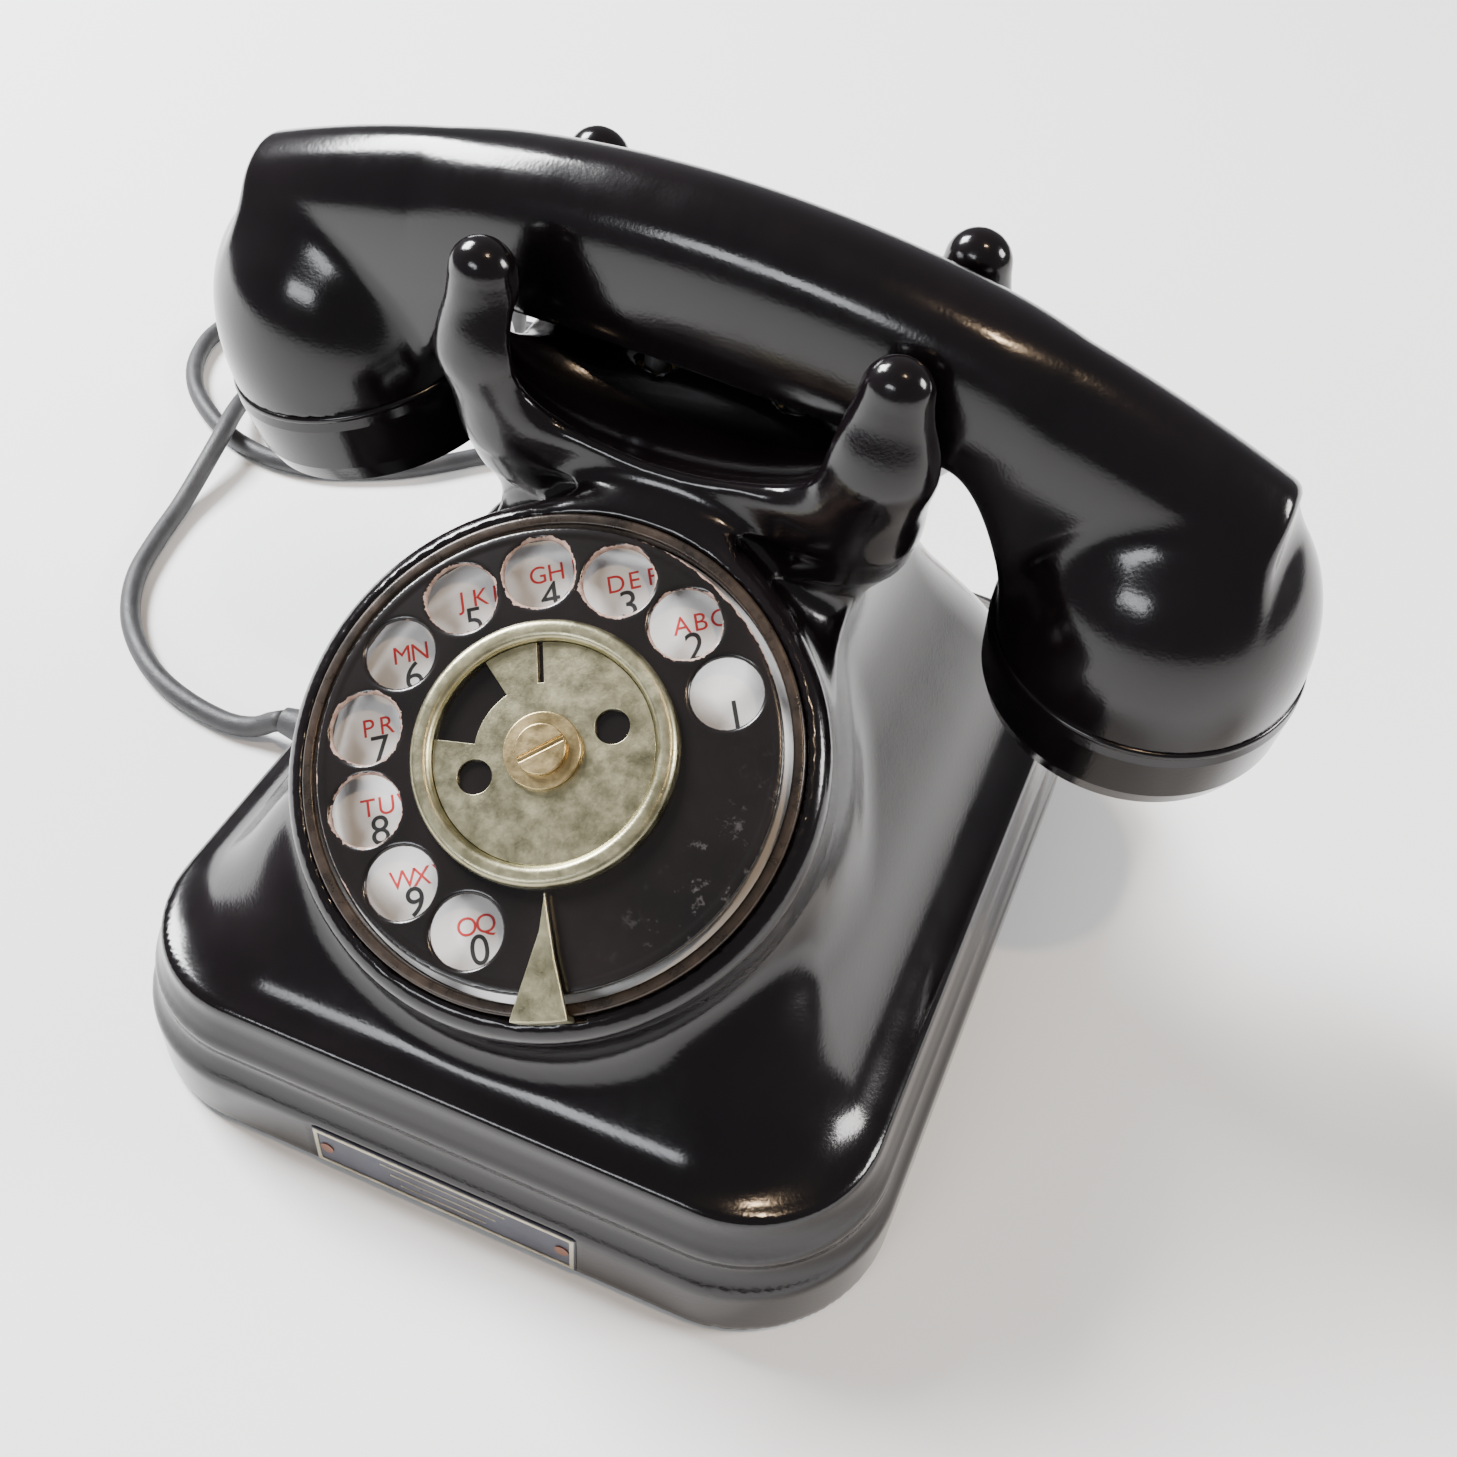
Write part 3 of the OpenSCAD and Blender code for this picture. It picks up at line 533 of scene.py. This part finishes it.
def handle_field(x, y, z):
    """The handset's arched handle, broad at the front face and narrow at its crest."""
    ax = np.abs(x)
    top = CREST_Z - 0.1 - 0.00215 * ax ** 2
    bottom = np.maximum(119.9 - 0.0006 * ax ** 2 - 0.11 * np.maximum(ax - 45, 0) ** 2, 90)
    middle, half = (top + bottom) / 2, (top - bottom) / 2
    v = (z - middle) / half
    from_top = np.clip((top - z) / 24.0, 0, 1)
    widest = 14.2 - 0.8 * np.clip((ax - 40) / 60, 0, 1)
    half_w = widest * (0.30 + 0.70 * np.sqrt(from_top * (2 - from_top) + 1e-6))
    u = y / half_w
    rounded = (np.abs(u) ** 2.6 + np.abs(v) ** 6.0) ** (1 / 3.4)
    body = (rounded - 1) * 12.0
    return smooth_max(body, ax - HANDLE_END, 2.5)


def cup_coordinates(x, y, z):
    """Radius about the nearer cup's axis, and height along it; the left cup leans inward."""
    left = x < 0
    lean = np.where(left, LEFT_CUP_LEAN, 0.0)
    across, rise = np.where(left, x + CUP_X, x - CUP_X), z - CUP_LEAN_Z
    along = across * np.cos(lean) + rise * np.sin(lean)
    height = rise * np.cos(lean) - across * np.sin(lean) + CUP_LEAN_Z
    return np.hypot(along, y), height


def dome_field(x, y, z):
    """Both bell-shaped cup housings."""
    rho, height = cup_coordinates(x, y, z)
    h = np.maximum(height - SEAM_Z, 0)
    bell = ((rho / (CUP_R - 0.2)) ** DOME_POWER + (h / DOME_RISE) ** DOME_POWER + 1e-9) ** (1 / DOME_POWER)
    return smooth_max((bell - 1) * 26.0, SEAM_Z - height, 0.6)


def handset_field(x, y, z):
    """The handset moulding standing level, before it is laid on the cradle, with a bore in each cup."""
    whole = smooth_min(handle_field(x, y, z), dome_field(x, y, z), 3.5)
    rho, height = cup_coordinates(x, y, z)
    whole = smooth_max(whole, SEAM_Z - 0.1 - height, 0.4)
    return smooth_max(whole, -np.maximum(rho - CUP_BORE, height - CUP_FLOOR), 0.6)


def turned(angles):
    """Turn about X, then Y, then Z, as the CAD does it."""
    x, y, z = (math.radians(a) for a in angles)
    return Matrix.Rotation(z, 4, "Z") @ Matrix.Rotation(y, 4, "Y") @ Matrix.Rotation(x, 4, "X")


HANDSET_PLACE = (Matrix.Translation(Vector(HANDSET_REST) * MM) @ turned(HANDSET_TURN)
                 @ Matrix.Translation((0, 0, -CREST_Z * MM)))


def cup_place(side):
    """Stands a cup's pieces at one end of the resting handset."""
    lean = Matrix.Rotation(-LEFT_CUP_LEAN if side < 0 else 0.0, 4, "Y")
    return (HANDSET_PLACE @ Matrix.Translation((side * CUP_X * MM, 0, CUP_LEAN_Z * MM)) @ lean
            @ Matrix.Translation((0, 0, -CUP_LEAN_Z * MM)))


def resting_handle(x, y, z):
    """The handle's distance field as the handset lies on the cradle."""
    turn = np.array(turned(HANDSET_TURN).to_3x3())
    dx, dy, dz = x - HANDSET_REST[0], y - HANDSET_REST[1], z - HANDSET_REST[2]
    own = [turn[0][k] * dx + turn[1][k] * dy + turn[2][k] * dz for k in range(3)]
    return handle_field(own[0], own[1], own[2] + CREST_Z)


def skirt_and_hill(x, y, z):
    """The stepped skirt, with the hill that narrows upward to the ridged neck."""
    flat = round_rect(x, y, BASE_W, BASE_D, BASE_R)
    skirt = smooth_max(flat + lerp_table(z, SKIRT_Z, SKIRT_IN, SKIRT_BLUR), z - SKIRT_TOP, 1.6)
    w, front, back, r = (lerp_table(z, HILL_Z, t, HILL_BLUR) for t in (HILL_W, HILL_FRONT, HILL_BACK, HILL_R))
    ledge = sum(out * np.clip((z - start) / RIDGE_RAMP, 0, 1) for start, out in RIDGES)
    hill = round_rect(x, y - (front + back) / 2, w, (back - front) / 2, r) - ledge
    hill = smooth_max(hill * 0.75, z - NECK_TOP, 4.0)
    return smooth_min(skirt, hill, 5.0)


def with_cradle(shape, x, y, z):
    """Adds the two wings of the cradle and a horn-shaped prong at each of their ends."""
    for side in (-1, 1):
        wing = capsule(x, y, z, (side * 33, 6, 110), (side * 33, 46, 110), 7.0, 7.0)
        shape = smooth_min(shape, wing, 8.0)
        for end in (-1, 1):
            root = (side * 31.5, NECK_Y + end * 17.0, 107)
            knee = (side * 36.4, NECK_Y + end * 22.6, 125)
            tip = (side * 37.2, NECK_Y + end * 22.4, 139.0)
            prong = smooth_min(capsule(x, y, z, root, knee, 11.0, 9.2, 1.25),
                               capsule(x, y, z, knee, tip, 9.2, 6.2, 1.15), 4.0)
            shape = smooth_min(shape, prong, 9.0)
    return shape


def without_hollows(shape, x, y, z, dial_radius, dial_height):
    """Cuts the saddle, the handle's clearance, the dial's bore, the inside and the smaller openings."""
    shape = smooth_max(shape, -ellipsoid(x, y, z, (-2, 10, 127), (37, 16.5, 17)) * 17, 1.8)
    shape = smooth_max(shape, -ellipsoid(x, y, z, (0, 52, 127), (27, 19, 17)) * 17, 2.5)
    shape = smooth_max(shape, HANDLE_CLEARANCE - resting_handle(x, y, z), 2.0)
    bore = np.maximum(dial_radius - CASE_R - 0.1, -dial_height - 14.5)
    shape = smooth_max(shape, -bore, 0.8)
    hollow = np.maximum(round_rect(x, y, INSIDE_W, INSIDE_D, INSIDE_R), z - INSIDE_TOP)
    shape = smooth_max(shape, -hollow, 0.8)
    for px in (-PLUNGER_X, PLUNGER_X):
        plunger = np.maximum(np.hypot(x - px, y - NECK_Y) - PLUNGER_BORE, PLUNGER_FLOOR - z)
        shape = np.maximum(shape, -plunger)
    pocket = np.maximum(np.maximum(np.abs(x) - POCKET_W, np.abs(z - POCKET_Z) - POCKET_H), y + BASE_D - 0.5)
    return np.maximum(shape, -pocket)


def body_field(x, y, z):
    """The whole body moulding."""
    shape = skirt_and_hill(x, y, z)
    dx, dy, dz = dial_coordinates(x, y, z)
    radius = np.hypot(dx, dy)
    boss = smooth_max(radius - BOSS_R, np.maximum(dz + 3.0, -38.0 - dz), 5.0)
    shape = smooth_min(shape, boss, 8.0)
    shape = with_cradle(shape, x, y, z)
    shape = without_hollows(shape, x, y, z, radius, dz)
    return smooth_max(shape, SKIRT_GAP - z, 0.8)


BODY_STEP = 1.05
HANDSET_STEP = 0.9
WHEEL_STEP = 0.4

body = surface_net("body_moulding", body_field, (-80, -94, -1), (80, 94, 149), BODY_STEP)[0]
finish_with(body, "bakelite")
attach(body, "base")
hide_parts("body_shell")

handle = surface_net("handset_moulding", handset_field, (-120, -31, 80), (118, 31, 155), HANDSET_STEP)[0]
handle.data.transform(HANDSET_PLACE)
finish_with(handle, "bakelite")
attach(handle, "handset")
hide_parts("handset_handle")


# ---- pieces on the dial ----

DIAL_PLACE = Matrix.Translation(Vector(DIAL_CENTRE) * MM) @ Matrix.Rotation(DIAL_LEAN, 4, "X")


def on_dial(obj):
    obj.data.transform(DIAL_PLACE)
    return obj


def lathe(name, profile, sides=128):
    """A closed profile of (radius, height) points in millimetres, turned about Z, with radii above zero."""
    n = len(profile)
    angles = [2 * math.pi * i / sides for i in range(sides)]
    vertices = [(r * math.cos(a) * MM, r * math.sin(a) * MM, z * MM) for a in angles for r, z in profile]
    faces = [(i * n + j, ((i + 1) % sides) * n + j, ((i + 1) % sides) * n + (j + 1) % n, i * n + (j + 1) % n)
             for i in range(sides) for j in range(n)]
    return new_mesh_object(name, vertices, faces)


def arc(cx, cz, r, a0, a1, steps=6):
    """Profile points on an arc, angles in degrees."""
    return [(cx + r * math.cos(math.radians(a0 + (a1 - a0) * i / steps)),
             cz + r * math.sin(math.radians(a0 + (a1 - a0) * i / steps))) for i in range(steps + 1)]


HOLES = [(HOLE_CIRCLE * math.cos(math.radians(FIRST_HOLE + k * HOLE_STEP)),
          HOLE_CIRCLE * math.sin(math.radians(FIRST_HOLE + k * HOLE_STEP))) for k in range(10)]


def wheel_field(x, y, z):
    """Dished finger wheel with a turned-down rim and rolled lips round its holes."""
    rho = np.hypot(x, y)
    crown = -0.55 * np.clip((rho - 23.5) / 16.0, 0, 1) ** 2
    plate = np.maximum(z - crown, -(z - crown) - 1.2)
    plate = smooth_max(plate, rho - WHEEL_R, 1.2)
    rim = np.maximum(np.abs(rho - WHEEL_R + 0.6) - 0.6, np.maximum(z - crown, -z - 3.4))
    shape = smooth_min(plate, rim, 0.6)
    for hx, hy in HOLES:
        shape = smooth_max(shape, HOLE_R - np.hypot(x - hx, y - hy), 0.9)
    return np.maximum(shape, 3.0 - rho)


wheel, wheel_points = surface_net("finger_wheel_disc", wheel_field, (-41, -41, -4.2), (41, 41, 0.8),
                                  WHEEL_STEP)
CHIPPED = {1: 0.30, 2: 0.42, 3: 0.40, 4: 0.36, 5: 0.16, 6: 0.40, 7: 0.34, 8: 0.12, 9: 0.05, 0: 0.10}
wear = np.zeros(len(wheel_points))
for k, (hx, hy) in enumerate(HOLES):
    gap = np.hypot(wheel_points[:, 0] - hx, wheel_points[:, 1] - hy) - HOLE_R
    wear = np.maximum(wear, (0.30 + CHIPPED[k]) * np.exp(-np.maximum(gap, 0) / 1.3))
rim_gap = WHEEL_R - np.hypot(wheel_points[:, 0], wheel_points[:, 1])
bearing = np.degrees(np.arctan2(wheel_points[:, 1], wheel_points[:, 0]))
upper = np.exp(-((bearing - 62) / 26) ** 2)
lower_left = np.exp(-((bearing + 145) / 30) ** 2)
wear = np.maximum(wear, (0.34 + 0.28 * upper + 0.16 * lower_left) * np.exp(-np.maximum(rim_gap, 0) / 0.8))
scuff = np.exp(-((bearing + 15) / 22) ** 2) * np.clip((12 - rim_gap) / 4, 0, 1)
for label, numbers in (("wear", wear), ("scuff", scuff)):
    wheel.data.attributes.new(label, "FLOAT", "POINT").data.foreach_set("value", numbers.astype(np.float32))
on_dial(wheel)
finish_with(wheel, "lacquer")
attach(wheel, "dial_rotor")
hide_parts("finger_wheel")

ring_profile = [(19.2, 0.0), (22.9, 0.0)]
ring_profile += arc(21.6, 1.1, 1.3, 0, 90) + arc(20.6, 1.1, 1.3, 90, 170) + [(19.2, 1.2)]
ring = on_dial(lathe("hub_ring", ring_profile))
finish_with(ring, "nickel")
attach(ring, "dial_rotor")
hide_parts("card_ring")

case = on_dial(lathe("dial_case_cup", [(3.05, -14.0), (43.5, -14.0)] + arc(42.9, -2.9, 0.6, 0, 90, 5)
                     + arc(42.0, -2.9, 0.6, 90, 180, 5) + [(41.5, -5.0), (41.7, -12.4), (3.05, -12.4)]))
finish_with(case, "case_metal")
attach(case, "base")
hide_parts("dial_case")


def refined(node, name, body_name, bevel, look=None, segments=3):
    """A CAD node's shape with rounded edges, as a piece of its own."""
    mesh = NODES[node].data.copy()
    obj = bpy.data.objects.new(name, mesh)
    bpy.context.scene.collection.objects.link(obj)
    mesh.transform(NODES[node].matrix_world)
    work = bmesh.new()
    work.from_mesh(mesh)
    bmesh.ops.remove_doubles(work, verts=work.verts, dist=0.000005)
    bmesh.ops.dissolve_limit(work, angle_limit=math.radians(0.5), verts=work.verts, edges=work.edges)
    work.to_mesh(mesh)
    work.free()
    if "custom_normal" in mesh.attributes:
        mesh.attributes.remove(mesh.attributes["custom_normal"])
    mesh.polygons.foreach_set("use_smooth", [True] * len(mesh.polygons))
    edge = obj.modifiers.new("edges", "BEVEL")
    edge.width = bevel * MM
    edge.segments = segments
    edge.limit_method = "ANGLE"
    edge.angle_limit = math.radians(12)
    edge.harden_normals = True
    finish_with(obj, SLOT_OF[node], look)
    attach(obj, body_name)
    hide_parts(node)
    return obj


for node, name, body_name, bevel in (
    ("card_plate", "card_plate_disc", "dial_rotor", 0.12),
    ("hub_washer", "hub_washer_ring", "dial_rotor", 0.25),
    ("centre_screw", "centre_screw_head", "dial_rotor", 0.25),
    ("finger_stop", "finger_stop_blade", "base", 0.3),
    ("number_plate", "number_plate_disc", "base", 0.15),
    ("nameplate", "nameplate_field", "base", 0.05),
    ("ear_cap", "ear_cap_moulding", "handset", 0.5),
    ("mouth_cap", "mouth_cap_moulding", "handset", 0.5),
    ("base_plate", "base_plate_sheet", "base", 0.3),
    ("rubber_feet", "rubber_feet_set", "base", 0.3),
    ("plunger_guides", "plunger_guide_bushes", "base", 0.3),
):
    refined(node, name, body_name, bevel)


# ---- numbers and letters on the dial ----

TEXT_TILT = math.radians(31)
TEXT_HEIGHT = -5.77          # just above the number plate's face
DIGIT_SIZE, LETTER_SIZE, LETTER_STEP = 7.4, 4.6, 3.3
ROW = np.array([math.cos(TEXT_TILT), math.sin(TEXT_TILT)])
LETTERS = ["", "ABC", "DEF", "GHI", "JKL", "MN", "PRS", "TUV", "WXY", "OQ"]


def plate_text(name, text, size, centre, look):
    """One flat character, centred on a point of the number plate, as a mesh."""
    curve = bpy.data.curves.new(name, "FONT")
    curve.body = text
    curve.size = size * MM
    curve.align_x = "CENTER"
    curve.align_y = "CENTER"
    curve.extrude = 0.02 * MM
    curve.resolution_u = 6
    made = bpy.data.objects.new(name + "_curve", curve)
    bpy.context.scene.collection.objects.link(made)
    bpy.context.view_layer.update()
    mesh = bpy.data.meshes.new_from_object(made.evaluated_get(bpy.context.evaluated_depsgraph_get()))
    bpy.data.objects.remove(made)
    obj = bpy.data.objects.new(name, mesh)
    bpy.context.scene.collection.objects.link(obj)
    place = Matrix.Translation((centre[0] * MM, centre[1] * MM, TEXT_HEIGHT * MM))
    mesh.transform(place @ Matrix.Rotation(TEXT_TILT, 4, "Z"))
    on_dial(obj)
    finish_with(obj, "enamel", look)
    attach(obj, "base")


for k, (hx, hy) in enumerate(HOLES):
    digit = str((k + 1) % 10)
    plate_text("digit_" + digit, digit, DIGIT_SIZE, (hx + 1.7, hy - 2.2), "digit_black")
    for i, letter in enumerate(LETTERS[k]):
        at = np.array([hx - 2.0, hy + 0.6]) + ROW * LETTER_STEP * i
        plate_text("letters_" + digit + "_" + letter, letter, LETTER_SIZE, at, "letter_red")


# ---- small pieces of the visual model ----

for side, label in ((-1, "ear"), (1, "mouth")):
    bead = lathe(label + "_seam_bead", arc(CUP_R - 0.4, SEAM_Z - 0.1, 0.8, 0, 330, 11), 96)
    bead.data.transform(cup_place(side))
    finish_with(bead, "bakelite")
    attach(bead, "handset")


def frame_border(name, half_w, half_h, width, thickness, centre_z, front_y, look):
    """A flat rectangular frame on the front band, with bevelled edges."""
    work = bmesh.new()
    rings = []
    inner_w, inner_h = half_w - width, half_h - width
    for w, h, y in ((half_w, half_h, 0.0), (half_w, half_h, thickness), (inner_w, inner_h, thickness),
                    (inner_w, inner_h, 0.0)):
        rings.append([work.verts.new((sx * w * MM, (front_y - y) * MM, (centre_z + sz * h) * MM))
                      for sx, sz in ((-1, -1), (1, -1), (1, 1), (-1, 1))])
    for a, b in zip(rings, rings[1:] + rings[:1]):
        for i in range(4):
            work.faces.new((a[i], a[(i + 1) % 4], b[(i + 1) % 4], b[i]))
    bmesh.ops.recalc_face_normals(work, faces=work.faces)
    bmesh.ops.bevel(work, geom=work.edges[:], offset=0.08 * MM, segments=2, affect="EDGES")
    mesh = bpy.data.meshes.new(name)
    work.to_mesh(mesh)
    work.free()
    obj = bpy.data.objects.new(name, mesh)
    bpy.context.scene.collection.objects.link(obj)
    finish_with(obj, "plate_paint", look)
    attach(obj, "base")


PLATE_FRONT = -BASE_D - 0.08
frame_border("nameplate_border", 27.0, 5.5, 0.9, 0.2, 8.3, PLATE_FRONT, "pale_brass")
for i in range(3):
    frame_border("nameplate_rule_" + str(i), 13.0 - 2 * i, 0.2, 0.18, 0.1, 11.0 - 2.6 * i, PLATE_FRONT,
                 "pale_brass")

for node, obj in NODES.items():
    obj.data.materials.clear()
    obj.data.materials.append(MATERIALS[SLOT_OF[node]])


# ---- floor and light ----

def make_floor():
    floor = new_mesh_object("floor", [(-3, -3, 0), (3, -3, 0), (3, 3, 0), (-3, 3, 0)], [(0, 1, 2, 3)], False)
    m, tree, shader = material("floor")
    shader.inputs["Base Color"].default_value = (0.94, 0.94, 0.94, 1)
    shader.inputs["Roughness"].default_value = 0.7
    floor.data.materials.append(m)


def area_light(name, place, target, width, height, power, colour=(1, 1, 1)):
    data = bpy.data.lights.new(name, "AREA")
    data.shape = "RECTANGLE"
    data.size = width
    data.size_y = height
    data.energy = power
    data.color = colour
    obj = bpy.data.objects.new(name, data)
    bpy.context.scene.collection.objects.link(obj)
    obj.location = place
    obj.rotation_euler = (Vector(target) - Vector(place)).to_track_quat("-Z", "Y").to_euler()


make_floor()
area_light("window", (-1.3, 0.35, 1.25), (0, 0, 0.08), 0.7, 0.6, 120, (0.97, 0.98, 1.0))
area_light("front", (-0.5, -1.6, 1.0), (0, 0, 0.05), 0.7, 0.35, 12, (0.93, 0.96, 1.0))
area_light("right", (1.5, 0.5, 0.9), (0, 0, 0.08), 0.5, 0.5, 30, (1.0, 0.98, 0.96))
area_light("lamp", (0.42, -0.28, 1.7), (0, 0, 0.05), 0.07, 0.07, 8, (1.0, 0.72, 0.45))
world = bpy.data.worlds.new("studio")
world.use_nodes = True
world.node_tree.nodes["Background"].inputs["Color"].default_value = (0.95, 0.96, 1.0, 1)
world.node_tree.nodes["Background"].inputs["Strength"].default_value = 0.26
bpy.context.scene.world = world
